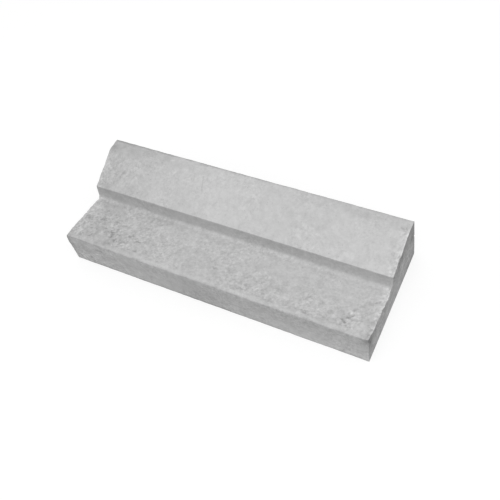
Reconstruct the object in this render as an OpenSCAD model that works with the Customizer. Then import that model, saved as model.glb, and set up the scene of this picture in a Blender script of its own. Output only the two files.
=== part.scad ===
// Concrete kerb stone with a channel along its front: one solid casting of one section from end to end.
// Millimetres. X runs along the kerb line, Y from the road side to the back, Z up from the bed.
// The origin is in the middle of the flat base.

/* [Overall] */
// Length along the kerb line
length = 1000; // [400:5:1500]
// Width of the flat base
base_w = 387; // [330:1:500]
// Height from the base to the flat top
height = 200; // [175:1:300]

/* [Channel] */
// Height of the front face, up to the lip of the channel
front_h = 124; // [60:1:150]
// Distance from the front face to the foot of the step
channel_w = 186; // [100:1:230]
// How far the channel falls from its lip to the foot of the step
channel_fall = 26; // [0:1:40]

/* [Step] */
// Height of the step above its foot
step_rise = 47; // [15:1:70]
// Lean of the step's face from the vertical, in degrees
step_batter = 9; // [0:0.5:20]

/* [Crown] */
// Width of the flat strip along the back of the top
top_w = 46; // [30:1:80]
// Lean of the back face from the vertical, in degrees
back_batter = 8.5; // [0:0.5:15]

/* [Arrises] */
// Radius along the lip of the channel
lip_r = 5; // [1:0.5:12]
// Radius of the hollow at the foot of the step
foot_r = 10; // [1:0.5:15]
// Radius along the nose of the step
nose_r = 3; // [1:0.5:8]
// Radius where the sloping face turns into the flat top
crown_r = 40; // [2:0.5:60]
// Radius along the top of the back
back_r = 5; // [1:0.5:12]
// Radius along both edges of the base
base_r = 2; // [0.5:0.5:6]

/* [Hidden] */

// Straight facets in each rounded arris
arris_facets = 8;

// Corners of the section as [y, z, radius], counter-clockwise from the front of the base
foot_z = front_h - channel_fall;
nose_y = channel_w + step_rise * tan(step_batter);
back_top_y = base_w - height * tan(back_batter);
section_corners = [
    [0, 0, base_r],
    [base_w, 0, base_r],
    [back_top_y, height, back_r],
    [back_top_y - top_w, height, crown_r],
    [nose_y, foot_z + step_rise, nose_r],
    [channel_w, foot_z, foot_r],
    [0, front_h, lip_r],
];

function unit(v) = v / norm(v);

function point(corner) = [corner[0], corner[1]];

function bearing(v) = atan2(v[1], v[0]);

// Turn from bearing a to bearing b by the shorter way, from -180 to 180 degrees
function turn(a, b) = (b - a + 540) % 360 - 180;

// Points of the arc of radius r that rounds corner p between its neighbours a and b
function rounded(a, p, b, r) =
    let(
        to_a = unit(a - p),
        to_b = unit(b - p),
        half_angle = acos(to_a * to_b) / 2,
        centre = p + unit(to_a + to_b) * r / sin(half_angle),
        reach = r / tan(half_angle),
        first = bearing(p + to_a * reach - centre),
        sweep = turn(first, bearing(p + to_b * reach - centre))
    )
    [
        for (i = [0 : arris_facets])
            let(angle = first + sweep * i / arris_facets)
            centre + r * [cos(angle), sin(angle)]
    ];

// Outline of the section with every corner rounded
function outline(corners) =
    let(n = len(corners))
    [
        for (i = [0 : n - 1])
            each rounded(
                point(corners[(i + n - 1) % n]),
                point(corners[i]),
                point(corners[(i + 1) % n]),
                corners[i][2]
            )
    ];

module kerb_stone() {
    color([0.72, 0.72, 0.71])
        translate([-length / 2, -base_w / 2, 0])
            rotate([90, 0, 90])
                linear_extrude(height = length)
                    polygon(outline(section_corners));
}

kerb_stone();
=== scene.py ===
"""Looks of a concrete kerb stone with a channel along its front.

Metres, in the part's own frame: X runs along the kerb line, Y from the road side to the back, and Z up from
the bed. The skin follows the section of the solid and is worn down from it, so it never stands proud of it.
"""

import logging
import math
from collections.abc import Callable, Mapping, Sequence
from dataclasses import dataclass, field, replace
from enum import Enum
from functools import partial, reduce
from operator import attrgetter
from typing import Any

import bpy
import numpy as np
from mathutils import Matrix, Vector
from mathutils.geometry import delaunay_2d_cdt


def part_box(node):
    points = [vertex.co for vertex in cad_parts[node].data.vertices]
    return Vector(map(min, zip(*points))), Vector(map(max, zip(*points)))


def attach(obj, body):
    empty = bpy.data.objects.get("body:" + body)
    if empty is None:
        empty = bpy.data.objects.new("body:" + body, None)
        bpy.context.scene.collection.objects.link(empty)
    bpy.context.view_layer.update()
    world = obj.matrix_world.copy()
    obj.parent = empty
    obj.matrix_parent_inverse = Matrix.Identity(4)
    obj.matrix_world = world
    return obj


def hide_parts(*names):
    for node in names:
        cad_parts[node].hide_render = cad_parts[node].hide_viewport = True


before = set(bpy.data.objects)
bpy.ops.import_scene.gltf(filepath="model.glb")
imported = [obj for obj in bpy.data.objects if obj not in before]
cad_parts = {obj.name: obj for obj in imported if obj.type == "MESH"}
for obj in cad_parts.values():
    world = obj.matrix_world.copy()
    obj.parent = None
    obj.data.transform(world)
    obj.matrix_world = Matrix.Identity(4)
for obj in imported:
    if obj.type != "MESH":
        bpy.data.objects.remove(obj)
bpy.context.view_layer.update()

STONE_NODE = "kerb_stone"
ONLY_BODY = "root"
CAST_NAME = "kerb_stone_cast"

logging.basicConfig(level=logging.INFO, format="%(message)s")
log = logging.getLogger("kerb stone")

Socket = bpy.types.NodeSocket
Source = Socket | bpy.types.Material | float | int | str | tuple[float, ...]
Point = tuple[float, float, float]


class Flat(Enum):
    """Flat faces of the section, in the order met on a walk round it from the back of the base."""

    BASE = "base"
    FRONT = "front"
    CHANNEL = "channel"
    STEP = "step"
    SLOPE = "slope"
    TOP = "top"
    BACK = "back"


class Arris(Enum):
    """Rounded edges of the section, in the order of the walk: each one ends the flat of the same number."""

    BED_FRONT = "front of the bed"
    LIP = "lip of the channel"
    FOOT = "foot of the step"
    NOSE = "nose of the step"
    CROWN = "crown"
    BACK_EDGE = "top of the back"
    BED_BACK = "back of the bed"


class Facing(Enum):
    """How a face of the casting was finished; a point's share of the last one is what the others leave. The
    last one, on the step and the ends, also carries painted shade.
    """

    COARSE = "coarse"
    FLOATED = "floated"
    FORMED = "formed"
    SKINNED = "skinned"


@dataclass(frozen=True)
class EdgeWearAndShade:
    """How hard an arris was knocked, and how pale it was rubbed at both ends, below 0 where stained and where
    painted shade darkens it.
    """

    knocked: float = 0.0
    pale_left: float = 0.0
    pale_right: float = 0.0
    reach: float = 0.004


@dataclass(frozen=True)
class Grain:
    """A cloudy pattern: width of its largest spots, which pattern it is, its finer layers and its swirl."""

    size: float
    seed: float
    layers: float = 2.0
    rough: float = 0.5
    swirl: float = 0.0


@dataclass(frozen=True)
class Ramp:
    """A smooth change: where it begins and stops, and what it starts and ends at."""

    low: float
    high: float
    start: Source = 0.0
    end: Source = 1.0


EVEN = Ramp(0.0, 1.0, 1.0, 1.0)


@dataclass(frozen=True)
class Look:
    """Relief and tone of one facing: its relief, its paleness and the strength of its patterns; tone and rise
    also carry painted light and shade.
    """

    depth: float
    relief: Grain
    tone: float
    mottle: float
    speckle: float
    cell: float
    streak: float = 0.0
    stroke: float = 0.0
    left: float = 1.0
    left_strength: float = 1.0
    # Tone by height; on the formed faces, the step and the ends it is painted bounce light, paler low down.
    rise: Ramp = EVEN
    strength_rise: Ramp = EVEN


@dataclass(frozen=True)
class Scar:
    """A broken place: its reach, depth and grain, the share worn evenly, and its flecks."""

    place: Point
    reach: float
    depth: float
    grain: float = 0.008
    even: float = 0.15
    fleck: float = 0.0


@dataclass(frozen=True)
class Mark:
    """One gouge or scrape from one point to another: its width to each side, its depth and its paleness."""

    start: Point
    end: Point
    width: float = 0.0045
    depth: float = 0.0
    pale: float = 0.0


@dataclass(frozen=True)
class StainAndShade:
    """A broad soft patch that is paler, or darker where its amount is below 0: mostly discolouring, in a few
    places painted shade and painted light.
    """

    place: Point
    reach: Point
    amount: float


@dataclass(frozen=True)
class Hairline:
    """A fine bent crack seen from above, from one point to another."""

    start: Point
    end: Point
    width: float = 0.0050
    darkness: float = 0.14
    bend: Grain = Grain(0.014, 2.9, 1.0)
    bend_width: float = 0.010
    from_above: Point = (1, 1, 0)


FACING_OF = {
    Flat.BASE: Facing.FORMED,
    Flat.FRONT: Facing.FORMED,
    Flat.CHANNEL: Facing.COARSE,
    Flat.STEP: Facing.SKINNED,
    Flat.SLOPE: Facing.FLOATED,
    Flat.TOP: Facing.FLOATED,
    Flat.BACK: Facing.FORMED,
}

EDGE_FACING_OF = {Flat.CHANNEL: Facing.FLOATED}

WEAR_AND_SHADE_OF = {
    # Painted shade: the front of the bed is darkened as a contact shadow, and the lip a little to tone down
    # its highlight.
    Arris.BED_FRONT: EdgeWearAndShade(knocked=0.5, pale_left=-2.4, pale_right=-1.2, reach=0.008),
    Arris.LIP: EdgeWearAndShade(knocked=0.6, pale_left=-0.9, pale_right=-0.5, reach=0.003),
    Arris.FOOT: EdgeWearAndShade(pale_left=0.35, pale_right=0.35, reach=0.006),
    Arris.NOSE: EdgeWearAndShade(knocked=0.25),
    Arris.CROWN: EdgeWearAndShade(),
    Arris.BACK_EDGE: EdgeWearAndShade(knocked=0.4, pale_left=-1.6, pale_right=-0.8, reach=0.006),
    Arris.BED_BACK: EdgeWearAndShade(knocked=0.5),
}

LOOK_OF = {
    Facing.COARSE: Look(
        depth=0.0014, relief=Grain(0.012, 3.1, 2.0, 0.6, 0.9),
        tone=0.97, mottle=0.50, speckle=0.46, cell=0.07, stroke=0.34,
        left=0.92, left_strength=1.55,
        rise=Ramp(0.0985, 0.112, 1.10, 0.99), strength_rise=Ramp(0.098, 0.116, 0.75, 1.15),
    ),
    Facing.FLOATED: Look(
        depth=0.0005, relief=Grain(0.016, 8.4, 2.0, 0.6, 0.4),
        tone=1.055, mottle=0.36, speckle=0.31, cell=0.03, stroke=0.13,
        left=0.89, left_strength=1.60,
    ),
    # Painted light: the rise makes the formed faces paler low down, as if lit by light thrown back from the
    # floor.
    Facing.FORMED: Look(
        depth=0.0005, relief=Grain(0.030, 5.7, 2.0, 0.5),
        tone=0.96, mottle=0.52, speckle=0.62, cell=0.05, streak=0.06,
        left=1.04, left_strength=1.45, rise=Ramp(0.015, 0.115, 1.04, 0.96),
    ),
    # Painted shade: the step and the ends get a darker tone, and the rise makes them paler low down as
    # painted bounce light, darker near the nose and the top.
    Facing.SKINNED: Look(
        depth=0.0005, relief=Grain(0.020, 1.4, 2.0, 0.6),
        tone=0.825, mottle=0.36, speckle=0.42, cell=0.04,
        left=0.97, rise=Ramp(0.098, 0.143, 1.08, 0.94),
    ),
}


class Sketch:
    """Adds nodes to one node tree and links them, for geometry and for shaders alike."""

    MIDDLE = 0.5

    def __init__(self, tree: bpy.types.NodeTree) -> None:
        """Take an empty tree."""
        self.tree = tree

    def add(
        self, kind: str, inputs: Mapping[int | str, Source] | None = None, **settings: Any
    ) -> bpy.types.Node:
        """Add one node.

        Args:
            kind: The node's type name.
            inputs: What goes into its sockets, by name or number: another node's output, or a value.
            settings: Properties of the node itself.

        Returns:
            The new node.
        """
        node = self.tree.nodes.new(kind)
        for name, value in settings.items():
            setattr(node, name, value)
        for key, source in (inputs or {}).items():
            self.plug(source, node.inputs[key])
        return node

    def plug(self, source: Source, socket: Socket) -> None:
        """Link an output to a socket, or set the socket to a value.

        Args:
            source: An output socket, or a plain value.
            socket: The input socket.
        """
        if isinstance(source, Socket):
            self.tree.links.new(source, socket)
        else:
            socket.default_value = source

    def math(self, operation: str, *values: Source, clamp: bool = False) -> Socket:
        """Add a Math node and give its result, kept from 0 to 1 where clamp is set."""
        node = self.add("ShaderNodeMath", dict(enumerate(values)), operation=operation, use_clamp=clamp)
        return node.outputs[0]

    def product(self, *values: Source) -> Socket:
        """Multiply two or more values."""
        return reduce(partial(self.math, "MULTIPLY"), values)

    def total(self, *values: Source) -> Socket:
        """Add two or more values."""
        return reduce(partial(self.math, "ADD"), values)

    def vector(self, operation: str, *values: Source) -> Socket:
        """Add a Vector Math node and give its vector."""
        node = self.add("ShaderNodeVectorMath", dict(enumerate(values)), operation=operation)
        return node.outputs["Vector"]

    def measure(self, operation: str, *values: Source) -> Socket:
        """Add a Vector Math node and give its number."""
        node = self.add("ShaderNodeVectorMath", dict(enumerate(values)), operation=operation)
        return node.outputs["Value"]

    def parts(self, vector: Source) -> bpy.types.bpy_prop_collection:
        """Split a vector into its parts, under X, Y and Z."""
        return self.add("ShaderNodeSeparateXYZ", {0: vector}).outputs

    def joined(self, **parts: Source) -> Socket:
        """Join a vector from its parts, under X, Y and Z."""
        return self.add("ShaderNodeCombineXYZ", parts).outputs[0]

    def stored(self, name: str, output: str = "Fac") -> Socket:
        """Read what the skin keeps under a name, in a material."""
        return self.add("ShaderNodeAttribute", attribute_name=name).outputs[output]

    def from_line(self, place: Source, start: Point, end: Point) -> Socket:
        """Measure how far a place is from a short straight line.

        Args:
            place: The place.
            start: Where the line starts.
            end: Where it ends.

        Returns:
            The distance.
        """
        run = Vector(end) - Vector(start)
        offset = self.vector("SUBTRACT", place, start)
        along = self.measure("DOT_PRODUCT", offset, tuple(run / run.length_squared))
        share = self.math("MULTIPLY", along, 1.0, clamp=True)
        return self.measure("DISTANCE", offset, self.vector("MULTIPLY", tuple(run), share))

    def ramp(self, value: Source, ramp: Ramp) -> Socket:
        """Turn a range of a value smoothly into another, held at both ends.

        Args:
            value: What is read.
            ramp: The two ranges.

        Returns:
            The result.
        """
        inputs = {
            "Value": value,
            "From Min": ramp.low,
            "From Max": ramp.high,
            "To Min": ramp.start,
            "To Max": ramp.end,
        }
        return self.add("ShaderNodeMapRange", inputs, interpolation_type="SMOOTHSTEP").outputs["Result"]

    def fade(self, away: Source, reach: float, amount: float = 1.0, core: float = 0.0) -> Socket:
        """Give an amount that holds over a core, as a share of the reach, and is gone at the reach."""
        return self.ramp(away, Ramp(core * reach, reach, amount, 0.0))

    def noise(self, place: Source, grain: Grain) -> Socket:
        """Add a cloudy pattern.

        Args:
            place: Where it is read, in metres.
            grain: The pattern.

        Returns:
            The pattern, from about 0.2 to 0.8 with its middle at 0.5.
        """
        inputs = {
            "Vector": place,
            "W": grain.seed,
            "Scale": 1.0 / grain.size,
            "Detail": grain.layers,
            "Roughness": grain.rough,
            "Distortion": grain.swirl,
        }
        return self.add("ShaderNodeTexNoise", inputs, noise_dimensions="4D").outputs[0]

    def bent(self, place: Source, grain: Grain, width: float) -> Socket:
        """Shift a place by a cloudy pattern, so that what is read there bends.

        Args:
            place: The place, in metres.
            grain: The pattern.
            width: About how far it shifts, in metres.

        Returns:
            The shifted place.
        """
        cloud = self.noise(place, grain).node.outputs["Color"]
        shift = self.vector("MULTIPLY", self.vector("SUBTRACT", cloud, (self.MIDDLE,) * 3), (width,) * 3)
        return self.vector("ADD", place, shift)

    def cells(self, place: Source, spacing: float, pattern: Point) -> tuple[Socket, Socket]:
        """Scatter points through space.

        Args:
            place: Where they are read, in metres.
            spacing: About how far apart the points are, in metres.
            pattern: Offset that picks one of the endless such patterns.

        Returns:
            The distance to the nearest point as a share of the spacing, and that point's lot from 0 to 1.
        """
        moved = self.vector("ADD", place, pattern)
        node = self.add("ShaderNodeTexVoronoi", {"Vector": moved, "Scale": 1.0 / spacing}, feature="F1")
        return node.outputs["Distance"], self.parts(node.outputs["Color"])["X"]

    def shares(self, facing: Source) -> dict[Facing, Socket]:
        """Read how much a point has of each facing.

        Args:
            facing: The stored shares of all facings but the last.

        Returns:
            The shares.
        """
        *stored, last = Facing
        parts = self.parts(facing)
        found = {kind: parts[axis] for kind, axis in zip(stored, "XYZ")}
        found[last] = self.math("SUBTRACT", 1.0, self.total(*found.values()))
        return found

    def mixed(self, shares: Mapping[Facing, Socket], amount: Callable[[Look], Source]) -> Socket:
        """Mix what the looks of the facings give, after a point's shares of them."""
        return self.total(*(self.product(share, amount(LOOK_OF[facing])) for facing, share in shares.items()))


@dataclass
class Section:
    """Outline of the stone's section, read from the solid and spaced out for a skin."""

    node: bpy.types.Object
    spacing: Mapping[Flat, float]
    digits: int = 6
    arris_spacing: float = 0.0018
    shortest_flat: float = 0.015
    knock_reach: float = 0.006
    blend_width: float = 0.010
    margin: float = 0.016
    points: np.ndarray = field(init=False)
    lip: Point = field(init=False)
    inward: np.ndarray = field(init=False)
    facings: np.ndarray = field(init=False)
    edges: np.ndarray = field(init=False)

    def __post_init__(self) -> None:
        """Read the outline and space it out."""
        loop = self.end_loop()
        self.space_out(loop, self.flats_of(loop))

    def end_loop(self) -> np.ndarray:
        """Walk round the solid's end at low X.

        Returns:
            The outline's corners as rows of Y and Z, counter-clockwise as seen from outside.
        """
        mesh = self.node.data
        mesh.calc_loop_triangles()
        places = [tuple(round(c, self.digits) for c in vertex.co) for vertex in mesh.vertices]
        low = min(place[0] for place in places)
        edges: set[tuple] = set()
        for triangle in mesh.loop_triangles:
            corners = [places[i] for i in triangle.vertices]
            if any(corner[0] != low for corner in corners):
                continue
            for here, there in zip(corners, corners[1:] + corners[:1]):
                if (there, here) in edges:
                    edges.remove((there, here))
                else:
                    edges.add((here, there))
        following = dict(edges)
        walk = [min(following)]
        while len(walk) < len(following):
            walk.append(following[walk[-1]])
        return np.array([place[1:] for place in walk])

    def flats_of(self, loop: np.ndarray) -> list[int]:
        """Find the long straight edges of the outline.

        Args:
            loop: The outline's corners.

        Returns:
            The number of the first corner of each flat, in the order of Flat.
        """
        ahead = np.roll(loop, -1, axis=0)
        lengths = np.linalg.norm(ahead - loop, axis=1)
        starts = [int(i) for i in np.flatnonzero(lengths > self.shortest_flat)]
        if len(starts) != len(Flat):
            raise ValueError(f"the section has {len(starts)} flats, and {len(Flat)} are named")
        first = int(np.argmin([loop[i, 1] + ahead[i, 1] for i in starts]))
        return starts[first:] + starts[:first]

    def space_out(self, loop: np.ndarray, flats: Sequence[int]) -> None:
        """Set points along every flat and every arris, with their facings, how worn they are and the painted
        shade of some arrises.

        Args:
            loop: The outline's corners.
            flats: The first corner of each flat.
        """
        count, names = len(loop), list(Flat)
        points: list[np.ndarray] = []
        facings: list[np.ndarray] = []
        spans: list[tuple[int, int]] = []
        for number, flat in enumerate(names):
            ahead = names[(number + 1) % len(names)]
            corner = (flats[number] + 1) % count
            last = flats[(number + 1) % len(flats)]
            arc = loop[[(corner + i) % count for i in range((last - corner) % count + 1)]]
            straight = self.along(loop[[flats[number], corner]], self.spacing[flat])
            points.extend(straight)
            facings.extend(self.facings_along(flat, straight))
            bend = self.along(arc, self.arris_spacing)
            spans.append((len(points), len(points) + len(bend)))
            points.extend(bend)
            before = self.shares_of(FACING_OF[flat])
            after = self.shares_of(self.edge_facing(ahead))
            for share in np.arange(len(bend)) / len(bend):
                facings.append(before * (1 - share) + after * share)
        self.points = np.array(points)
        self.facings = np.array(facings)
        span_of = dict(zip(Arris, spans))
        self.lip = (0.0, *self.points[sum(span_of[Arris.LIP]) // 2])
        steps = np.linalg.norm(np.roll(self.points, -1, axis=0) - self.points, axis=1)
        run = np.concatenate([[0.0], np.cumsum(steps)])
        self.edges = self.edge_wear_and_shade(run, spans)
        self.inward = self.inward_ways(run)

    @staticmethod
    def shares_of(facing: Facing) -> np.ndarray:
        """Give the shares of all facings but the last for a point of one facing."""
        return np.array([kind is facing for kind in list(Facing)[:-1]], float)

    @staticmethod
    def edge_facing(flat: Flat) -> Facing:
        """Name the facing of the first edge of a flat."""
        return EDGE_FACING_OF.get(flat, FACING_OF[flat])

    def facings_along(self, flat: Flat, straight: np.ndarray) -> np.ndarray:
        """Blend the facing of a flat's first edge into its own.

        Args:
            flat: The flat.
            straight: Points across it, from its first edge on.

        Returns:
            One row of shares for each point.
        """
        away = np.linalg.norm(straight - straight[0], axis=1)
        share = np.clip(1 - away / self.margin, 0, 1)[:, None]
        first, own = self.shares_of(self.edge_facing(flat)), self.shares_of(FACING_OF[flat])
        return share * first + (1 - share) * own

    @staticmethod
    def along(line: np.ndarray, spacing: float) -> np.ndarray:
        """Space points evenly along a line of corners, without its last end.

        Args:
            line: The corners.
            spacing: The widest gap between two points.

        Returns:
            The points.
        """
        lengths = np.concatenate([[0.0], np.cumsum(np.linalg.norm(np.diff(line, axis=0), axis=1))])
        stops = np.linspace(0.0, lengths[-1], max(2, math.ceil(lengths[-1] / spacing)) + 1)[:-1]
        return np.column_stack([np.interp(stops, lengths, column) for column in line.T])

    def inward_ways(self, run: np.ndarray) -> np.ndarray:
        """Find the way into the section at every point, evened out round the arrises.

        Args:
            run: Distance of every point from the first one round the outline, and the whole way round.

        Returns:
            One way for each point as Y and Z, shorter where the outline turns.
        """
        tangents = np.roll(self.points, -1, axis=0) - np.roll(self.points, 1, axis=0)
        ways = np.column_stack([tangents[:, 1], -tangents[:, 0]])
        ways /= np.linalg.norm(ways, axis=1, keepdims=True)
        apart = np.abs(run[:-1, None] - run[None, :-1])
        apart = np.minimum(apart, run[-1] - apart)
        shares = np.exp(-((apart / self.blend_width) ** 2)) * np.diff(run)
        return shares @ ways / shares.sum(1, keepdims=True)

    def edge_wear_and_shade(self, run: np.ndarray, spans: Sequence[tuple[int, int]]) -> np.ndarray:
        """Work out how each point fares from the arrises near it.

        Args:
            run: Distance of every point from the first one round the outline, and the whole way round.
            spans: First point of each arris and first point after it.

        Returns:
            How hard each point was knocked, and how pale it was rubbed at the left and at the right end,
            below 0 where it is stained, and where painted shade darkens it.
        """
        wear_and_shade = np.zeros((len(self.points), 3))
        for arris, (first, last) in zip(Arris, spans):
            middle = (run[first] + run[last]) / 2
            half = (run[last] - run[first]) / 2
            apart = np.abs(run[:-1] - middle)
            gap = np.maximum(np.minimum(apart, run[-1] - apart) - half, 0.0)
            own = WEAR_AND_SHADE_OF[arris]
            rubbed = np.clip(1 - gap / own.reach, 0, 1)
            wear_and_shade[:, 0] += np.clip(1 - gap / self.knock_reach, 0, 1) * own.knocked
            wear_and_shade[:, 1] += rubbed * own.pale_left
            wear_and_shade[:, 2] += rubbed * own.pale_right
        return wear_and_shade

    def depth_inside(self, places: np.ndarray) -> tuple[np.ndarray, np.ndarray]:
        """Measure how deep points lie inside the outline.

        Args:
            places: Rows of Y and Z.

        Returns:
            The distance to the outline, negative outside it, and the way into the section from there.
        """
        starts, ends = self.points, np.roll(self.points, -1, axis=0)
        edges = ends - starts
        offsets = places[:, None] - starts[None]
        share = np.clip((offsets * edges).sum(-1) / (edges * edges).sum(-1), 0, 1)
        gaps = np.linalg.norm(offsets - share[..., None] * edges, axis=-1)
        nearest = gaps.min(1)
        heights = places[:, None, 1]
        spanned = (starts[:, 1] > heights) != (ends[:, 1] > heights)
        rise = np.where(edges[:, 1] == 0, 1.0, edges[:, 1])
        crossing = starts[:, 0] + (heights - starts[:, 1]) / rise * edges[:, 0]
        inside = (spanned & (places[:, None, 0] < crossing)).sum(1) % 2 == 1
        return np.where(inside, nearest, -nearest), self.inward[gaps.argmin(1)]


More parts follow.
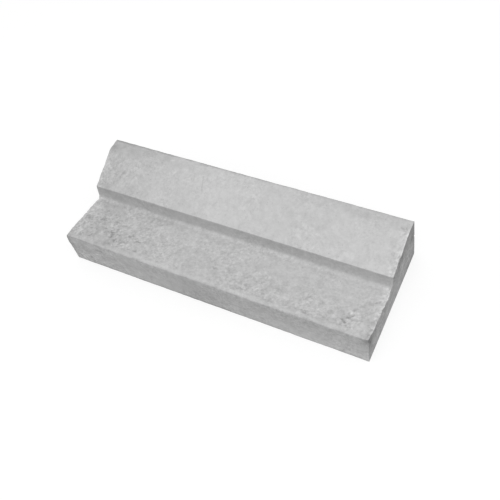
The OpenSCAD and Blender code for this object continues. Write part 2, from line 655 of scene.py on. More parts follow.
@dataclass(frozen=True)
class Relief:
    """Depths and sizes of what has been worn, broken or left open in the casting's faces, and the paleness
    laid on them, painted shade and light included.

    Ramps along the stone read the share of its length from the left end. The core is the share of a reach
    over which a scar, a mark or the flecks keep their full strength.
    """

    grain: Ramp = Ramp(0.28, 0.75)
    hollow: Ramp = Ramp(0.0014, 0.0050)
    off_bed: Ramp = Ramp(-0.95, -0.6)
    leaning: Ramp = Ramp(0.03, 0.12)
    upward: Ramp = Ramp(0.3, 0.6)
    finish_on_end: Ramp = Ramp(0.6, 0.9)
    shade_on_end: Ramp = Ramp(0.75, 0.95)
    core: float = 0.2
    sag: Grain = Grain(0.16, 1.9, 1.0)
    sagging: Ramp = Ramp(0.25, 0.75)
    sag_depth: float = 0.0007
    pit_pattern: Point = (0.31, 0.72, 0.15)
    pit_depth: float = 0.0014
    pit_radius: float = 0.0048
    pit_spacing: float = 0.045
    pit_size: Ramp = Ramp(0.35, 1.0, 0.2, 1.0)
    pit_wall: Ramp = Ramp(0.4, 1.0, 1.0, 0.0)
    chip: Grain = Grain(0.030, 6.6, 2.0, 0.5, 0.5)
    chipped: Ramp = Ramp(0.40, 0.66)
    end_chip_depth: float = 0.0034
    end_chip_reach: float = 0.014
    end_chip_least: float = 0.15
    end_chip_along: Ramp = Ramp(0.0, 1.0, 0.25, 1.0)
    end_chip_back: Ramp = Ramp(0.092, 0.112, 1.0, 0.0)
    end_chip_bed: Ramp = Ramp(0.005, 0.03)
    end_line: float = 0.8
    end_line_reach: float = 0.007
    end_fleck: Grain = Grain(0.0085, 5.1, 2.0, 0.6, 0.6)
    end_pale_fleck: Ramp = Ramp(0.48, 0.64, 0.0, 1.5)
    end_dark_fleck: Ramp = Ramp(0.32, 0.46, -1.5, 0.0)
    end_fleck_reach: float = 0.036
    end_pale_along: Ramp = Ramp(0.0, 1.0, 0.7, 1.0)
    end_pale_back: Ramp = Ramp(0.115, 0.145, 1.0, 0.0)
    end_shade: float = 1.3
    end_shade_reach: float = 0.070
    long_chip_depth: float = 0.0016
    rubbed_depth: float = 0.0006
    rub: Grain = Grain(0.030, 3.8, 2.0, 0.6)
    rub_strength: Ramp = Ramp(0.35, 0.65, 0.2, 1.6)
    rub_along: Ramp = Ramp(0.15, 0.70)
    soft_lip_depth: float = 0.0042
    soft_lip_reach: float = 0.030
    soft_lip_tip: Ramp = Ramp(0.0, 0.04, 0.6, 1.0)
    soft_lip_tail: Ramp = Ramp(0.04, 0.26, 1.0, 0.0)
    soft_lip_paleness: float = -0.3
    scar_grain: Grain = Grain(0.008, 2.3, 1.5, 0.6, 0.6)
    scar_broken: Ramp = Ramp(0.44, 0.64)
    scar_standing: Ramp = Ramp(0.34, 0.46, 1.0, 0.0)
    stains_and_shade: tuple[StainAndShade, ...] = (
        # Front face
        StainAndShade((-0.03, -0.194, 0.05), (0.13, 0.05, 0.10), -0.65),
        StainAndShade((-0.22, -0.194, 0.08), (0.05, 0.05, 0.03), -0.45),
        StainAndShade((0.34, -0.194, 0.00), (0.32, 0.05, 0.08), 0.70),
        StainAndShade((0.32, -0.194, 0.115), (0.36, 0.05, 0.035), -0.55),
        StainAndShade((-0.02, -0.194, 0.000), (0.170, 0.030, 0.016), -1.60),
        StainAndShade((0.50, -0.194, 0.11), (0.04, 0.04, 0.05), -0.90),
        # Painted shade: a dark sliver along the front face's left arris.
        StainAndShade((-0.50, -0.194, 0.080), (0.030, 0.030, 0.110), -2.20),
        StainAndShade((-0.45, -0.194, 0.100), (0.060, 0.030, 0.035), -0.50),
        # Right end and its rim
        StainAndShade((0.50, 0.120, 0.110), (0.03, 0.180, 0.130), -0.35),
        # Painted light: the right end paler near the bed, as light thrown back from the floor.
        StainAndShade((0.50, -0.080, 0.000), (0.03, 0.220, 0.080), 1.30),
        # Painted shade: the right end darker just under the end of the lip.
        StainAndShade((0.50, -0.175, 0.110), (0.03, 0.070, 0.060), -1.00),
        StainAndShade((0.494, -0.020, 0.100), (0.022, 0.035, 0.020), 1.20),
        StainAndShade((0.500, 0.105, 0.195), (0.020, 0.050, 0.022), 0.40),
        # Left ends of the channel, the slope and the top
        StainAndShade((-0.50, -0.090, 0.110), (0.060, 0.150, 0.050), 0.90),
        StainAndShade((-0.475, -0.150, 0.118), (0.050, 0.035, 0.030), 0.90),
        StainAndShade((-0.50, 0.030, 0.160), (0.030, 0.070, 0.050), 0.80),
        StainAndShade((-0.50, 0.115, 0.196), (0.040, 0.035, 0.030), -1.20),
        # Channel
        StainAndShade((-0.24, -0.015, 0.100), (0.120, 0.035, 0.030), -0.70),
        StainAndShade((-0.34, -0.176, 0.122), (0.050, 0.022, 0.020), -0.50),
        # Back of the top
        StainAndShade((-0.44, 0.140, 0.20), (0.32, 0.045, 0.04), -0.60),
        StainAndShade((0.38, 0.142, 0.20), (0.28, 0.040, 0.04), -0.80),
    )
    scars: tuple[Scar, ...] = (
        Scar((0.424, -0.138, 0.116), reach=0.034, depth=0.0030, fleck=1.0),
        Scar((-0.380, -0.122, 0.114), reach=0.040, depth=0.0028, fleck=0.6),
        Scar((-0.347, -0.138, 0.116), reach=0.040, depth=0.0028, fleck=0.6),
        Scar((-0.310, -0.158, 0.119), reach=0.036, depth=0.0024, fleck=0.6),
        Scar((-0.435, 0.075, 0.180), reach=0.065, depth=0.0020, fleck=0.6),
        Scar((0.480, 0.125, 0.199), reach=0.024, depth=0.0024, grain=0.009, fleck=0.6),
        Scar((0.500, -0.012, 0.102), reach=0.022, depth=0.0030, grain=0.012, even=0.5),
    )
    marks: tuple[Mark, ...] = (
        # Broken patch near the right end of the channel
        Mark((0.409, -0.152, 0.118), (0.419, -0.159, 0.119), depth=0.0042),
        Mark((0.418, -0.141, 0.117), (0.431, -0.132, 0.115), depth=0.0040),
        Mark((0.428, -0.113, 0.113), (0.434, -0.105, 0.112), depth=0.0028),
        Mark((0.423, -0.128, 0.115), (0.426, -0.125, 0.114), pale=1.6),
        Mark((0.433, -0.133, 0.116), (0.451, -0.135, 0.116), pale=1.0),
        Mark((0.422, -0.157, 0.119), (0.455, -0.145, 0.117), pale=0.7),
        Mark((0.409, -0.172, 0.121), (0.426, -0.172, 0.121), pale=-0.6),
        Mark((0.474, -0.067, 0.106), (0.486, -0.055, 0.105), depth=0.0030),
        Mark((0.479, -0.139, 0.116), (0.482, -0.147, 0.118), width=0.008, pale=-0.5),
        Mark((0.378, -0.120, 0.114), (0.410, -0.103, 0.111), width=0.003, pale=0.7),
        Mark((0.380, -0.163, 0.120), (0.410, -0.163, 0.120), width=0.003, pale=-0.3),
        Mark((0.424, -0.171, 0.121), (0.452, -0.169, 0.121), width=0.003, pale=0.5),
        # Broken patch in the left half of the channel
        Mark((-0.359, -0.108, 0.112), (-0.355, -0.105, 0.112), depth=0.0034),
        Mark((-0.345, -0.148, 0.117), (-0.342, -0.142, 0.116), width=0.0060, depth=0.0040),
        Mark((-0.366, -0.134, 0.116), (-0.364, -0.129, 0.115), depth=0.0028),
        Mark((-0.435, -0.090, 0.110), (-0.423, -0.082, 0.108), width=0.0035, depth=0.0030),
        Mark((-0.431, -0.163, 0.120), (-0.425, -0.153, 0.118), depth=0.0026),
        Mark((-0.284, -0.165, 0.120), (-0.277, -0.163, 0.120), depth=0.0032),
        Mark((-0.262, -0.163, 0.120), (-0.255, -0.162, 0.120), depth=0.0028),
        Mark((-0.274, -0.127, 0.115), (-0.260, -0.127, 0.115), width=0.0038, depth=0.0032),
        Mark((-0.252, -0.042, 0.103), (-0.234, -0.040, 0.103), width=0.0035, pale=-0.9),
        Mark((-0.092, -0.157, 0.119), (-0.089, -0.153, 0.118), depth=0.0026),
        Mark((-0.268, -0.040, 0.103), (-0.266, -0.028, 0.101), width=0.0060, pale=0.7),
        Mark((-0.382, -0.143, 0.117), (-0.377, -0.137, 0.116), pale=1.0),
        Mark((-0.316, -0.139, 0.116), (-0.314, -0.132, 0.115), pale=0.9),
        Mark((-0.308, -0.167, 0.120), (-0.300, -0.163, 0.120), pale=0.9),
        # Left end of the front face
        Mark((-0.392, -0.1935, 0.089), (-0.372, -0.1935, 0.093), depth=0.0030, pale=-0.8),
        Mark((-0.379, -0.1935, 0.040), (-0.371, -0.1935, 0.037), depth=0.0030, pale=-0.8),
        # Right end of the slope and the top
        Mark((0.474, 0.133, 0.200), (0.481, 0.125, 0.200), depth=0.0016),
        Mark((0.488, 0.134, 0.200), (0.490, 0.128, 0.200), depth=0.0018, pale=-0.3),
        Mark((0.482, 0.114, 0.198), (0.484, 0.116, 0.199), pale=1.4),
        Mark((0.464, 0.098, 0.191), (0.467, 0.102, 0.193), pale=0.7),
        Mark((0.476, 0.056, 0.171), (0.478, 0.058, 0.172), width=0.006, depth=0.0024),
        # Left half of the slope and the top
        Mark((-0.427, 0.056, 0.171), (-0.418, 0.062, 0.174), width=0.006, depth=0.0026, pale=-0.5),
        Mark((-0.441, 0.086, 0.185), (-0.434, 0.091, 0.188), pale=0.9),
        Mark((-0.383, 0.103, 0.193), (-0.375, 0.099, 0.191), pale=0.9),
        Mark((-0.377, 0.090, 0.187), (-0.370, 0.083, 0.184), pale=-0.6),
        Mark((-0.381, 0.073, 0.179), (-0.367, 0.068, 0.177), width=0.004, pale=0.6),
        Mark((-0.201, 0.093, 0.188), (-0.190, 0.099, 0.191), pale=0.7),
        Mark((-0.246, 0.102, 0.193), (-0.238, 0.109, 0.196), width=0.0035, pale=0.7),
        Mark((-0.278, 0.140, 0.200), (-0.267, 0.141, 0.200), width=0.0035, pale=0.8),
        Mark((-0.187, 0.151, 0.200), (-0.154, 0.154, 0.200), width=0.0045, pale=-0.9),
        # Middle of the channel, and along its lip
        Mark((-0.005, -0.125, 0.114), (0.001, -0.130, 0.115), width=0.0040, depth=0.0032),
        Mark((0.150, -0.151, 0.118), (0.153, -0.147, 0.118), width=0.0040, pale=1.6),
        Mark((0.010, -0.110, 0.112), (0.023, -0.095, 0.110), width=0.0035, pale=-0.7),
        Mark((0.018, -0.101, 0.111), (0.051, -0.077, 0.108), width=0.0040, pale=0.6),
        Mark((0.046, -0.020, 0.100), (0.058, -0.010, 0.098), width=0.0035, pale=-0.6),
        Mark((0.043, -0.030, 0.101), (0.068, -0.013, 0.099), width=0.0040, pale=0.7),
        Mark((0.169, -0.143, 0.117), (0.181, -0.126, 0.115), width=0.0035, pale=-0.7),
        Mark((-0.124, -0.153, 0.118), (-0.113, -0.170, 0.121), width=0.0030, pale=-0.8),
        Mark((-0.061, -0.146, 0.117), (-0.044, -0.141, 0.117), pale=0.7),
        Mark((0.137, -0.166, 0.120), (0.152, -0.174, 0.121), width=0.0040, pale=-0.7),
        Mark((0.307, -0.173, 0.121), (0.311, -0.173, 0.121), depth=0.0026),
        Mark((0.351, -0.172, 0.121), (0.356, -0.172, 0.121), depth=0.0024),
    )


class Casting:
    """Geometry Nodes tree that sweeps the end face along the kerb line and wears the skin down."""

    INPUTS = {
        "NodeSocketGeometry": ("Geometry",),
        "NodeSocketFloat": ("Length", "End Step", "Pit Depth", "End Chip Depth", "Long Chip Depth"),
        "NodeSocketInt": ("Rings", "Outline Points"),
        "NodeSocketVector": ("Lip",),
    }
    END_STEPS = 2
    SAME_PLACE = 1e-5
    ACROSS = (0, 1, 1)

    def __init__(self, relief: Relief, concrete: bpy.types.Material) -> None:
        """Build the tree.

        Args:
            relief: The relief's depths and sizes.
            concrete: The material of the whole stone.
        """
        self.relief = relief
        self.tree = bpy.data.node_groups.new("casting", "GeometryNodeTree")
        self.make_sockets()
        self.sketch = s = Sketch(self.tree)
        self.given = s.add("NodeGroupInput").outputs
        self.place = s.add("GeometryNodeInputPosition").outputs[0]
        self.normal = s.add("GeometryNodeInputNormal").outputs[0]
        self.at = s.parts(self.place)
        self.along = s.total(s.math("DIVIDE", self.at["X"], self.given["Length"]), 0.5)
        self.upward = s.parts(self.normal)["Z"]
        self.endward = s.math("ABSOLUTE", s.parts(self.normal)["X"])
        self.edge = s.parts(self.named("edge", "FLOAT_VECTOR"))
        self.from_end = self.named("from_end")
        real = s.add("GeometryNodeRealizeInstances", {0: self.worn(self.blank())}).outputs[0]
        dressed = s.add("GeometryNodeSetMaterial", {"Geometry": real, "Material": concrete}).outputs[0]
        s.add("NodeGroupOutput", {0: dressed})

    def make_sockets(self) -> None:
        """Give the tree its inputs, one depth for each facing among them, and its output."""
        sockets = self.tree.interface
        inputs = [(name, kind) for kind, names in self.INPUTS.items() for name in names]
        inputs += [(self.depth_input(facing), "NodeSocketFloat") for facing in Facing]
        for name, kind in inputs:
            sockets.new_socket(name, in_out="INPUT", socket_type=kind)
        sockets.new_socket("Geometry", in_out="OUTPUT", socket_type="NodeSocketGeometry")

    @staticmethod
    def depth_input(facing: Facing) -> str:
        """Name the input that sets a facing's depth."""
        return f"{facing.value.title()} Depth"

    def set_inputs(
        self, modifier: bpy.types.NodesModifier, values: Mapping[str, float | int | Point]
    ) -> None:
        """Set the tree's named inputs on a modifier.

        Args:
            modifier: The modifier that runs the tree.
            values: The values by input name.
        """
        for item in self.tree.interface.items_tree:
            if item.in_out == "INPUT" and item.name in values:
                modifier[item.identifier] = values[item.name]

    def named(self, name: str, kind: str = "FLOAT") -> Socket:
        """Read a named attribute as a field."""
        return self.sketch.add("GeometryNodeInputNamedAttribute", {"Name": name}, data_type=kind).outputs[0]

    def store(self, geometry: Source, name: str, value: Source, kind: str = "FLOAT") -> Socket:
        """Keep a field on the points of a geometry under a name, and give the geometry with it."""
        inputs = {"Geometry": geometry, "Name": name, "Value": value}
        return self.sketch.add("GeometryNodeStoreNamedAttribute", inputs, data_type=kind).outputs[0]

    def at_corner(self, value: Source, corner: Source) -> Socket:
        """Read a vector at one point of the end face."""
        inputs = {"Geometry": self.given["Geometry"], "Value": value, "Index": corner}
        return self.sketch.add("GeometryNodeSampleIndex", inputs, data_type="FLOAT_VECTOR").outputs[0]

    def blank(self) -> Socket:
        """Sweep the end face's outline along X and close both ends.

        Returns:
            The closed skin, before wear.
        """
        s, given = self.sketch, self.given
        around = s.math("ADD", given["Outline Points"], 1)
        grid = s.add("GeometryNodeMeshGrid", {"Vertices X": given["Rings"], "Vertices Y": around})
        index = s.add("GeometryNodeInputIndex").outputs[0]
        # The half keeps rounding from falling short of a whole ring.
        ring = s.math("FLOOR", s.math("DIVIDE", s.math("ADD", index, 0.5), around))
        turn = s.math("SUBTRACT", index, s.math("MULTIPLY", ring, around))
        corner = s.math("FLOORED_MODULO", turn, given["Outline Points"])
        half = s.math("MULTIPLY", given["Length"], 0.5)
        x = s.math("SUBTRACT", self.ring_place(ring), half)
        across = s.parts(self.at_corner(self.place, corner))
        swept = grid.outputs["Mesh"]
        for name in ("facing", "edge", "inward"):
            carried = self.at_corner(self.named(name, "FLOAT_VECTOR"), corner)
            swept = self.store(swept, name, carried, "FLOAT_VECTOR")
        swept = self.store(swept, "from_end", s.math("SUBTRACT", half, s.math("ABSOLUTE", x)))
        place = s.joined(X=x, Y=across["Y"], Z=across["Z"])
        swept = s.add("GeometryNodeSetPosition", {"Geometry": swept, "Position": place}).outputs[0]
        right, left = (
            s.add("GeometryNodeTransform", {"Geometry": given["Geometry"], "Translation": s.joined(X=shift)})
            for shift in (half, s.product(half, -1))
        )
        turned = s.add("GeometryNodeFlipFaces", {"Mesh": left.outputs[0]})
        join = s.add("GeometryNodeJoinGeometry")
        for part in (swept, turned.outputs[0], right.outputs[0]):
            s.plug(part, join.inputs[0])
        merge = {"Geometry": join.outputs[0], "Distance": self.SAME_PLACE}
        return s.add("GeometryNodeMergeByDistance", merge).outputs[0]

    def ring_place(self, ring: Source) -> Socket:
        """Place a ring along the length, with a few short steps at both ends and even ones between.

        Args:
            ring: The ring's number.

        Returns:
            Its distance from the end at low X.
        """
        s, step = self.sketch, self.given["End Step"]
        near = s.math("MINIMUM", ring, self.END_STEPS)
        last = s.math("SUBTRACT", self.given["Rings"], self.END_STEPS + 1)
        far = s.math("MAXIMUM", s.math("SUBTRACT", ring, last), 0)
        even_steps = s.math("SUBTRACT", last, self.END_STEPS)
        share = s.math("DIVIDE", s.math("SUBTRACT", ring, self.END_STEPS), even_steps, clamp=True)
        inner = s.math("SUBTRACT", self.given["Length"], s.math("MULTIPLY", step, 2 * self.END_STEPS))
        return s.total(s.product(step, near), s.product(step, far), s.product(inner, share))

    def worn(self, skin: Source) -> Socket:
        """Move the skin inwards by its relief and keep what the finish needs.

        Args:
            skin: The closed skin.

        Returns:
            The worn skin, with hollow, pale and end_facing on its points.
        """
        s, r = self.sketch, self.relief
        knocked = self.edge["X"]
        chip = s.ramp(s.noise(self.place, r.chip), r.chipped)
        soft_lip = self.soft_lip()
        scars = [self.scar(scar) for scar in r.scars]
        marks = [(mark, self.mark(mark)) for mark in r.marks]
        broken = s.total(
            self.facing_relief(),
            self.pits(),
            *(depth for depth, _ in scars),
            *(s.product(near, mark.depth) for mark, near in marks if mark.depth),
        )
        depth = s.total(
            broken,
            s.product(chip, knocked, self.given["Long Chip Depth"]),
            s.product(knocked, r.rubbed_depth),
            s.product(s.ramp(s.noise(self.place, r.sag), r.sagging), r.sag_depth),
            s.product(soft_lip, r.soft_lip_depth),
        )
        # Paleness: rubbed rims, discolouring and flecks, with painted shade under the end rims, at the front
        # of the bed and on the lip, and painted light low on the right end.
        pale = s.total(
            self.long_paleness(),
            self.end_paleness(),
            s.product(soft_lip, r.soft_lip_paleness),
            *(fleck for _, fleck in scars),
            *(s.product(near, mark.pale) for mark, near in marks if mark.pale),
            *(self.soft_patch(soft_patch) for soft_patch in r.stains_and_shade),
        )
        kept = self.store(skin, "hollow", s.ramp(broken, r.hollow))
        kept = self.store(kept, "pale", pale)
        kept = self.store(kept, "end_facing", s.ramp(self.endward, r.finish_on_end))
        inwards = s.product(depth, s.ramp(self.upward, r.off_bed), -1)
        moved = s.vector("ADD", s.vector("MULTIPLY", self.normal, inwards), self.end_chips(chip))
        return s.add("GeometryNodeSetPosition", {"Geometry": kept, "Offset": moved}).outputs[0]

    def end_chips(self, chip: Source) -> Socket:
        """Bevel the arrises of the ends where pieces came off: most at the right, not at the bed or the back.

        Args:
            chip: 1 where an arris is chipped.

        Returns:
            The way that a point moves.
        """
        s, r = self.sketch, self.relief
        amount = s.product(
            s.fade(self.from_end, r.end_chip_reach),
            s.total(chip, r.end_chip_least),
            s.ramp(self.at["Y"], r.end_chip_back),
            s.ramp(self.at["Z"], r.end_chip_bed),
            s.ramp(self.along, r.end_chip_along),
            self.given["End Chip Depth"],
        )
        to_middle = s.joined(X=s.product(s.math("SIGN", self.at["X"]), -1))
        return s.vector("MULTIPLY", s.vector("ADD", to_middle, self.named("inward", "FLOAT_VECTOR")), amount)

    def long_paleness(self) -> Socket:
        """Say how pale the long arrises were rubbed, and where painted shade darkens them.

        Returns:
            The paleness, below 0 where an arris is stained, and where painted shade darkens the front of the
            bed and the lip.
        """
        s, r = self.sketch, self.relief
        left, right = self.edge["Y"], self.edge["Z"]
        even = s.total(left, s.product(s.math("SUBTRACT", right, left), s.ramp(self.along, r.rub_along)))
        return s.product(even, s.ramp(s.noise(self.place, r.rub), r.rub_strength))

    def end_paleness(self) -> Socket:
        """Make the upper rims of the ends pale and flecked, and shade the end faces below them.

        Returns:
            The paleness, below 0 where it is darker.
        """
        s, r = self.sketch, self.relief
        line = s.product(s.fade(self.from_end, r.end_line_reach, r.end_line), s.ramp(self.upward, r.leaning))
        cloud = s.noise(self.place, r.end_fleck)
        flecks = s.product(
            s.total(s.ramp(cloud, r.end_pale_fleck), s.ramp(cloud, r.end_dark_fleck)),
            s.fade(self.from_end, r.end_fleck_reach, core=r.core),
            s.ramp(self.upward, r.upward),
        )
        rim = s.product(s.ramp(self.at["Y"], r.end_pale_back), s.ramp(self.along, r.end_pale_along))
        below = s.fade(self.from_end, r.end_shade_reach, -r.end_shade)
        shade = s.product(below, s.ramp(self.endward, r.shade_on_end))
        return s.total(s.product(s.total(line, flecks), rim), shade)

    def soft_patch(self, soft_patch: StainAndShade) -> Socket:
        """Lay one broad soft patch.

        Args:
            soft_patch: The patch.

        Returns:
            Its paleness.
        """
        s = self.sketch
        inverse = tuple(1.0 / reach for reach in soft_patch.reach)
        offset = s.vector("MULTIPLY", s.vector("SUBTRACT", self.place, soft_patch.place), inverse)
        return s.fade(s.measure("LENGTH", offset), 1.0, soft_patch.amount)

    def facing_relief(self) -> Socket:
        """Roughen every face after its facing.

        Returns:
            The depth.
        """
        s, depths = self.sketch, []
        for facing, share in s.shares(self.named("facing", "FLOAT_VECTOR")).items():
            grain = s.ramp(s.noise(self.place, LOOK_OF[facing].relief), self.relief.grain)
            depths.append(s.product(share, grain, self.given[self.depth_input(facing)]))
        return s.total(*depths)

    def soft_lip(self) -> Socket:
        """Round the lip of the channel off near its left end, where it has been rubbed most.

        Returns:
            How much the lip is rubbed, from 0 to 1.
        """
        s, r = self.sketch, self.relief
        from_lip = s.measure("DISTANCE", s.vector("MULTIPLY", self.place, self.ACROSS), self.given["Lip"])
        along = s.product(s.ramp(self.along, r.soft_lip_tip), s.ramp(self.along, r.soft_lip_tail))
        return s.product(along, s.fade(from_lip, r.soft_lip_reach))

    def pits(self) -> Socket:
        """Scatter round air holes over the faces.

        Returns:
            Their depth.
        """
        s, r = self.sketch, self.relief
        away, lot = s.cells(self.place, r.pit_spacing, r.pit_pattern)
        share = s.math("DIVIDE", s.product(away, r.pit_spacing / r.pit_radius), s.ramp(lot, r.pit_size))
        return s.product(s.ramp(share, r.pit_wall), self.given["Pit Depth"])

    def scar(self, scar: Scar) -> tuple[Socket, Socket]:
        """Break the surface round one place.

        Args:
            scar: The broken place.

        Returns:
            The depth, and how pale the ground is that still stands in it.
        """
        s, r = self.sketch, self.relief
        away = s.measure("DISTANCE", self.place, scar.place)
        near = s.fade(away, scar.reach, core=r.core)
        grain = s.noise(self.place, replace(r.scar_grain, size=scar.grain))
        depth = s.product(near, s.ramp(grain, replace(r.scar_broken, start=scar.even)), scar.depth)
        return depth, s.product(near, s.ramp(grain, r.scar_standing), scar.fleck)

    def mark(self, mark: Mark) -> Socket:
        """Draw one gouge or scrape.

        Args:
            mark: The gouge or scrape.

        Returns:
            1 in its middle and 0 outside it.
        """
        s = self.sketch
        away = s.from_line(self.place, mark.start, mark.end)
        return s.fade(away, mark.width, core=self.relief.core)


@dataclass(frozen=True)
class Concrete:
    """Pale grey cast concrete: cloudy, mottled and sandy, paler where rubbed, darker in its hollows, with
    painted shade on the step and the ends.
    """

    tone: float = 0.54
    roughness: float = 0.92
    shine: float = 0.2
    cloud: Grain = Grain(0.20, 7.7, 2.0)
    cloud_amount: float = 0.10
    mottle: Grain = Grain(0.028, 2.8, 3.0, 0.65, 0.3)
    speckle: Grain = Grain(0.0070, 9.3, 2.0, 0.6, 0.6)
    streak: Grain = Grain(0.014, 4.9, 2.0)
    streak_stretch: Point = (0.12, 1.0, 1.0)
    stroke: Grain = Grain(0.009, 3.3, 2.0, 0.6, 0.9)
    stroke_stretch: Point = (0.35, 1.0, 1.0)
    stroke_turn: float = math.radians(-35)
    stroke_bend: Grain = Grain(0.10, 8.8, 1.0)
    stroke_bend_width: float = 0.09
    sand: Grain = Grain(0.0016, 4.2, 2.0, 0.7)
    sand_amount: float = 0.26
    sand_height: float = 0.0005
    bump: float = 0.5
    pore_pattern: Point = (0.07, 0.43, 0.66)
    pore_spacing: float = 0.0075
    pore_size: Ramp = Ramp(0.45, 1.0, 0.02, 0.20)
    pore_wall: Ramp = Ramp(0.5, 1.0, 1.0, 0.0)
    pore_depth: float = 1.5
    pore_darkness: float = 0.22
    hollow_darkness: float = 0.28
    # Strength of the stored paleness: rubbing and discolouring, with the painted shade and painted light laid
    # on the skin.
    rubbed_and_shaded_paleness: float = 0.14
    left: Ramp = Ramp(-0.50, -0.12, 1.0, 1.0)
    end_strength: Ramp = Ramp(0.0, 1.0, 1.0, 2.6)
    patch: Grain = Grain(0.12, 5.9, 2.0)
    patch_strength: Ramp = Ramp(0.35, 0.65, 0.55, 1.5)
    cell_pattern: Point = (0.52, 0.11, 0.83)
    cell_spacing: float = 0.011
    cell_shade: Ramp = Ramp(0.15, 0.75, 1.0, 0.0)
    cell_swirl: Grain = Grain(0.012, 6.1, 1.0)
    cell_swirl_width: float = 0.008
    hairline: Hairline = Hairline((-0.147, 0.114, 0.0), (-0.136, 0.074, 0.0))

    def material(self) -> bpy.types.Material:
        """Build the material.

        Returns:
            The material.
        """
        material = bpy.data.materials.new("concrete")
        material.use_nodes = True
        material.node_tree.nodes.clear()
        s = Sketch(material.node_tree)
        place = s.add("ShaderNodeTexCoord").outputs["Object"]
        sand = s.noise(place, self.sand)
        pores = self.pores(s, place)
        height = s.math("SUBTRACT", sand, s.product(pores, self.pore_depth))
        bump = {"Strength": self.bump, "Distance": self.sand_height, "Height": height}
        surface = {
            "Base Color": self.shade(s, place, sand, pores),
            "Roughness": self.roughness,
            "Specular IOR Level": self.shine,
            "Normal": s.add("ShaderNodeBump", bump).outputs[0],
        }
        shader = s.add("ShaderNodeBsdfPrincipled", surface).outputs[0]
        s.add("ShaderNodeOutputMaterial", {"Surface": shader})
        return material

    def pores(self, s: Sketch, place: Source) -> Socket:
        """Scatter fine open pores, 1 in their middle."""
        away, lot = s.cells(place, self.pore_spacing, self.pore_pattern)
        return s.ramp(s.math("DIVIDE", away, s.ramp(lot, self.pore_size)), self.pore_wall)

    def shade(self, s: Sketch, place: Source, sand: Source, pores: Source) -> Socket:
        """Work out how pale the concrete is, painted light and shade included.

        Args:
            s: The material's sketch.
            place: Where it is read.
            sand: Sand grain.
            pores: Fine pores.

        Returns:
            The tone, from 0 to 1.
        """
        mix = partial(s.mixed, s.shares(s.stored("facing", "Vector")))
        at = s.parts(place)
        patchy = s.ramp(s.noise(place, self.patch), self.patch_strength)
        drawn_out = s.vector("MULTIPLY", place, self.streak_stretch)
        patterns = [
            (s.noise(place, self.cloud), self.cloud_amount),
            (s.noise(place, self.mottle), mix(attrgetter("mottle"))),
            (s.noise(place, self.speckle), s.product(mix(attrgetter("speckle")), patchy)),
            (s.noise(drawn_out, self.streak), mix(attrgetter("streak"))),
            (self.strokes(s, place), s.product(mix(attrgetter("stroke")), patchy)),
            (self.cells(s, place), s.product(mix(attrgetter("cell")), patchy)),
            (sand, self.sand_amount),
        ]
        changes = [s.product(s.math("SUBTRACT", pattern, s.MIDDLE), amount) for pattern, amount in patterns]
        stronger = s.product(
            mix(lambda look: s.ramp(at["Z"], look.strength_rise)),
            s.ramp(at["X"], replace(self.left, start=mix(attrgetter("left_strength")))),
            s.ramp(s.stored("end_facing"), self.end_strength),
        )
        # The facings' tone by place, with the painted shade and painted bounce light that their tone and rise
        # carry.
        facing_tone_and_light = mix(
            lambda look: s.product(
                s.ramp(at["X"], replace(self.left, start=look.left)), s.ramp(at["Z"], look.rise), look.tone
            )
        )
        return s.product(
            s.total(1.0, s.product(s.total(*changes), stronger), s.product(pores, -self.pore_darkness)),
            s.total(1.0, s.product(s.stored("hollow"), -self.hollow_darkness)),
            s.total(1.0, s.product(s.stored("pale"), self.rubbed_and_shaded_paleness)),
            self.crack(s, place),
            facing_tone_and_light,
            self.tone,
        )

    def cells(self, s: Sketch, place: Source) -> Socket:
        """Draw the grains of the aggregate, pale in their middle and dark between them.

        Args:
            s: The material's sketch.
            place: Where they are read.

        Returns:
            The pattern, from 0 to 1 with its middle at about 0.5.
        """
        swirled = s.bent(place, self.cell_swirl, self.cell_swirl_width)
        away, _ = s.cells(swirled, self.cell_spacing, self.cell_pattern)
        return s.ramp(away, self.cell_shade)

    def strokes(self, s: Sketch, place: Source) -> Socket:
        """Draw the bent strokes that a float leaves in wet concrete.

        Args:
            s: The material's sketch.
            place: Where they are read.

        Returns:
            The pattern, with its middle at 0.5.
        """
        bent = {"Vector": s.bent(place, self.stroke_bend, self.stroke_bend_width), "Angle": self.stroke_turn}
        turned = s.add("ShaderNodeVectorRotate", bent, rotation_type="Z_AXIS").outputs[0]
        return s.noise(s.vector("MULTIPLY", turned, self.stroke_stretch), self.stroke)

    def crack(self, s: Sketch, place: Source) -> Socket:
        """Draw the hairline crack across the sloping face.

        Args:
            s: The material's sketch.
            place: Where it is read.

        Returns:
            The share of the tone that is left.
        """
        line = self.hairline
        bent = s.bent(place, line.bend, line.bend_width)
        away = s.from_line(s.vector("MULTIPLY", bent, line.from_above), line.start, line.end)
        return s.ramp(away, Ramp(0.0, line.width, 1 - line.darkness, 1.0))


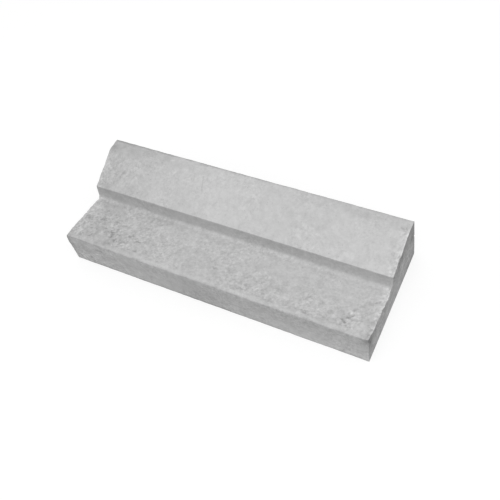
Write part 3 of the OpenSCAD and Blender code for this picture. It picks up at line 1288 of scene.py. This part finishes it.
@dataclass
class KerbStone:
    """The one cast piece: its skin, its relief and its finish."""

    node: bpy.types.Object
    relief: Relief = field(default_factory=Relief)
    finish: Concrete = field(default_factory=Concrete)
    rings: int = 345
    end_step: float = 0.0015
    end_spacing: float = 0.005
    end_clearance: float = 0.45
    sharp_angle: float = math.radians(38)
    spacing: Mapping[Flat, float] = field(
        default_factory=lambda: {
            Flat.BASE: 0.024,
            Flat.FRONT: 0.0029,
            Flat.CHANNEL: 0.0027,
            Flat.STEP: 0.0027,
            Flat.SLOPE: 0.0028,
            Flat.TOP: 0.0028,
            Flat.BACK: 0.007,
        }
    )

    def build(self) -> bpy.types.Object:
        """Make the stone's mesh.

        Returns:
            The finished object, at the origin.
        """
        section = Section(self.node, self.spacing)
        low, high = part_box(STONE_NODE)
        casting = Casting(self.relief, self.finish.material())
        stone = bpy.data.objects.new(CAST_NAME, self.end_face(section))
        bpy.context.scene.collection.objects.link(stone)
        modifier = stone.modifiers.new("casting", "NODES")
        modifier.node_group = casting.tree
        sizes = {
            "Length": high.x - low.x,
            "Rings": self.rings,
            "Outline Points": len(section.points),
            "End Step": self.end_step,
            "Lip": section.lip,
            "Pit Depth": self.relief.pit_depth,
            "End Chip Depth": self.relief.end_chip_depth,
            "Long Chip Depth": self.relief.long_chip_depth,
        }
        sizes.update({casting.depth_input(facing): LOOK_OF[facing].depth for facing in Facing})
        casting.set_inputs(modifier, sizes)
        evaluated = stone.evaluated_get(bpy.context.evaluated_depsgraph_get())
        mesh = bpy.data.meshes.new_from_object(evaluated)
        stone.modifiers.remove(modifier)
        stone.data = mesh
        mesh.shade_smooth()
        mesh.set_sharp_from_angle(angle=self.sharp_angle)
        return stone

    def end_face(self, section: Section) -> bpy.types.Mesh:
        """Fill the section with triangles fine enough to carry relief.

        Args:
            section: The outline.

        Returns:
            The end face at X 0, facing +X, with its outline's points first.
        """
        outline = section.points
        inner, depths, ways = self.inner_points(section)
        places = [Vector(place) for place in np.concatenate([outline, inner])]
        loop = list(reversed(range(len(outline))))
        inside_only, same_place = 1, 1e-7
        verts, _, faces, origins, _, _ = delaunay_2d_cdt(places, [], [loop], inside_only, same_place)
        order = sorted(range(len(verts)), key=lambda i: origins[i][0])
        rank = {old: new for new, old in enumerate(order)}
        mesh = bpy.data.meshes.new(CAST_NAME)
        mesh.from_pydata([(0.0, *verts[i]) for i in order], [], [[rank[i] for i in face] for face in faces])
        skinned = unworn = np.zeros((len(inner), 3))
        self.keep(mesh, "facing", np.concatenate([section.facings, skinned]))
        self.keep(mesh, "edge", np.concatenate([section.edges, unworn]))
        self.keep(mesh, "from_end", np.concatenate([np.zeros(len(outline)), depths]))
        inward = np.concatenate([section.inward, ways])
        self.keep(mesh, "inward", np.column_stack([np.zeros(len(inward)), inward]))
        return mesh

    def inner_points(self, section: Section) -> tuple[np.ndarray, np.ndarray, np.ndarray]:
        """Set staggered points inside the section, clear of its outline.

        Args:
            section: The outline.

        Returns:
            The points as rows of Y and Z, how deep each lies inside the outline and the way in to it.
        """
        low, high = section.points.min(0), section.points.max(0)
        columns = np.arange(low[0], high[0], self.end_spacing)
        rows = np.arange(low[1], high[1], self.end_spacing * math.sqrt(3) / 2)
        y, z = np.meshgrid(columns, rows)
        y[1::2] += self.end_spacing / 2
        places = np.column_stack([y.ravel(), z.ravel()])
        depths, ways = section.depth_inside(places)
        kept = depths > self.end_spacing * self.end_clearance
        return places[kept], depths[kept], ways[kept]

    @staticmethod
    def keep(mesh: bpy.types.Mesh, name: str, values: np.ndarray) -> None:
        """Store numbers or vectors on the points of a mesh.

        Args:
            mesh: The mesh.
            name: The attribute's name.
            values: One row for each point.
        """
        kind, key = ("FLOAT", "value") if values.ndim == 1 else ("FLOAT_VECTOR", "vector")
        attribute = mesh.attributes.new(name, kind, "POINT")
        attribute.data.foreach_set(key, values.astype(np.float32).ravel())

    @staticmethod
    def dress(stone: bpy.types.Object) -> None:
        """Tie the stone to its body and hide its solid.

        Args:
            stone: The finished object.
        """
        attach(stone, ONLY_BODY)
        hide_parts(STONE_NODE)


@dataclass(frozen=True)
class Studio:
    """Pale floor, soft light all round and one large soft lamp from the front."""

    floor_size: float = 30.0
    floor_bounce: float = 0.50
    floor_white: float = 0.74
    floor_shadow: float = 0.30
    sky: float = 0.82
    lamp_place: Point = (0.55, -1.0, 2.2)
    lamp_target: Point = (0.0, 0.0, 0.1)
    lamp_size: float = 1.4
    lamp_power: float = 12.0

    def build(self) -> None:
        """Make the floor, the sky and the lamp."""
        self.make_floor()
        self.make_sky()
        self.make_lamp()

    def make_floor(self) -> None:
        """Lay a floor that the camera sees as white, with the stone's shadow on it."""
        half = self.floor_size / 2
        mesh = bpy.data.meshes.new("floor")
        corners = [(-half, -half, 0), (half, -half, 0), (half, half, 0), (-half, half, 0)]
        mesh.from_pydata(corners, [], [range(len(corners))])
        floor = bpy.data.objects.new("floor", mesh)
        bpy.context.scene.collection.objects.link(floor)
        material = bpy.data.materials.new("floor")
        material.use_nodes = True
        material.node_tree.nodes.clear()
        s = Sketch(material.node_tree)
        shadowed = s.add("ShaderNodeBsdfDiffuse", {"Color": (self.floor_shadow,) * 3 + (1,)}).outputs[0]
        white = s.add("ShaderNodeEmission", {"Color": (1, 1, 1, 1), "Strength": self.floor_white}).outputs[0]
        seen = s.add("ShaderNodeAddShader", {0: shadowed, 1: white}).outputs[0]
        bounce = s.add("ShaderNodeBsdfDiffuse", {"Color": (self.floor_bounce,) * 3 + (1,)}).outputs[0]
        mixed = s.add("ShaderNodeMixShader", {0: self.seen_by_eye(s), 1: bounce, 2: seen}).outputs[0]
        s.add("ShaderNodeOutputMaterial", {"Surface": mixed})
        mesh.materials.append(material)

    def make_sky(self) -> None:
        """Surround the stone with even light, seen as white."""
        world = bpy.data.worlds.new("sky")
        world.use_nodes = True
        world.node_tree.nodes.clear()
        s = Sketch(world.node_tree)
        inputs = {"Value": self.seen_by_eye(s), "To Min": self.sky, "To Max": 1.0}
        strength = s.add("ShaderNodeMapRange", inputs).outputs[0]
        light = s.add("ShaderNodeBackground", {"Color": (1, 1, 1, 1), "Strength": strength}).outputs[0]
        s.add("ShaderNodeOutputWorld", {"Surface": light})
        bpy.context.scene.world = world

    @staticmethod
    def seen_by_eye(s: Sketch) -> Socket:
        """Tell rays that the eye follows from rays that light the stone.

        Args:
            s: The sketch that the nodes go into.

        Returns:
            1 for camera, glossy and transmission rays.
        """
        path = s.add("ShaderNodeLightPath").outputs
        direct = s.math("MAXIMUM", path["Is Camera Ray"], path["Is Glossy Ray"])
        return s.math("MAXIMUM", direct, path["Is Transmission Ray"])

    def make_lamp(self) -> None:
        """Hang the large soft lamp."""
        light = bpy.data.lights.new("soft_lamp", "AREA")
        light.shape = "DISK"
        light.size = self.lamp_size
        light.energy = self.lamp_power
        lamp = bpy.data.objects.new("soft_lamp", light)
        aim = Vector(self.lamp_target) - Vector(self.lamp_place)
        turn = aim.to_track_quat("-Z", "Y").to_matrix().to_4x4()
        lamp.matrix_world = Matrix.Translation(self.lamp_place) @ turn
        bpy.context.scene.collection.objects.link(lamp)


@dataclass(frozen=True)
class Viewpoint:
    """Where the camera stands: turned from the road side towards the right end, looking down and leaning."""

    turned: float = math.radians(37.944)
    raised: float = math.radians(54.218)
    leaned: float = math.radians(14.583)
    aim: Point = (0.0221, 0.0300, 0.0)
    distance: float = 2.1327
    lens: float = 48.654
    sensor: float = 36.0

    def build(self) -> None:
        """Make the scene's camera."""
        data = bpy.data.cameras.new("viewpoint")
        data.lens = self.lens
        data.sensor_width = self.sensor
        camera = bpy.data.objects.new("viewpoint", data)
        turn = Matrix.Rotation(self.turned, 4, "Z") @ Matrix.Rotation(math.pi / 2 - self.raised, 4, "X")
        lean = Matrix.Rotation(-self.leaned, 4, "Z")
        away = Matrix.Translation((0, 0, self.distance))
        camera.matrix_world = Matrix.Translation(self.aim) @ turn @ away @ lean
        bpy.context.scene.collection.objects.link(camera)
        bpy.context.scene.camera = camera


def main() -> None:
    """Build the stone and its studio, and report the stone's points and faces."""
    bpy.context.scene.view_settings.view_transform = "Standard"
    kerb = KerbStone(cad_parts[STONE_NODE])
    stone = kerb.build()
    kerb.dress(stone)
    log.info("%s: %d points, %d faces", stone.name, len(stone.data.vertices), len(stone.data.polygons))
    Studio().build()
    Viewpoint().build()


if __name__ == "__main__":
    main()
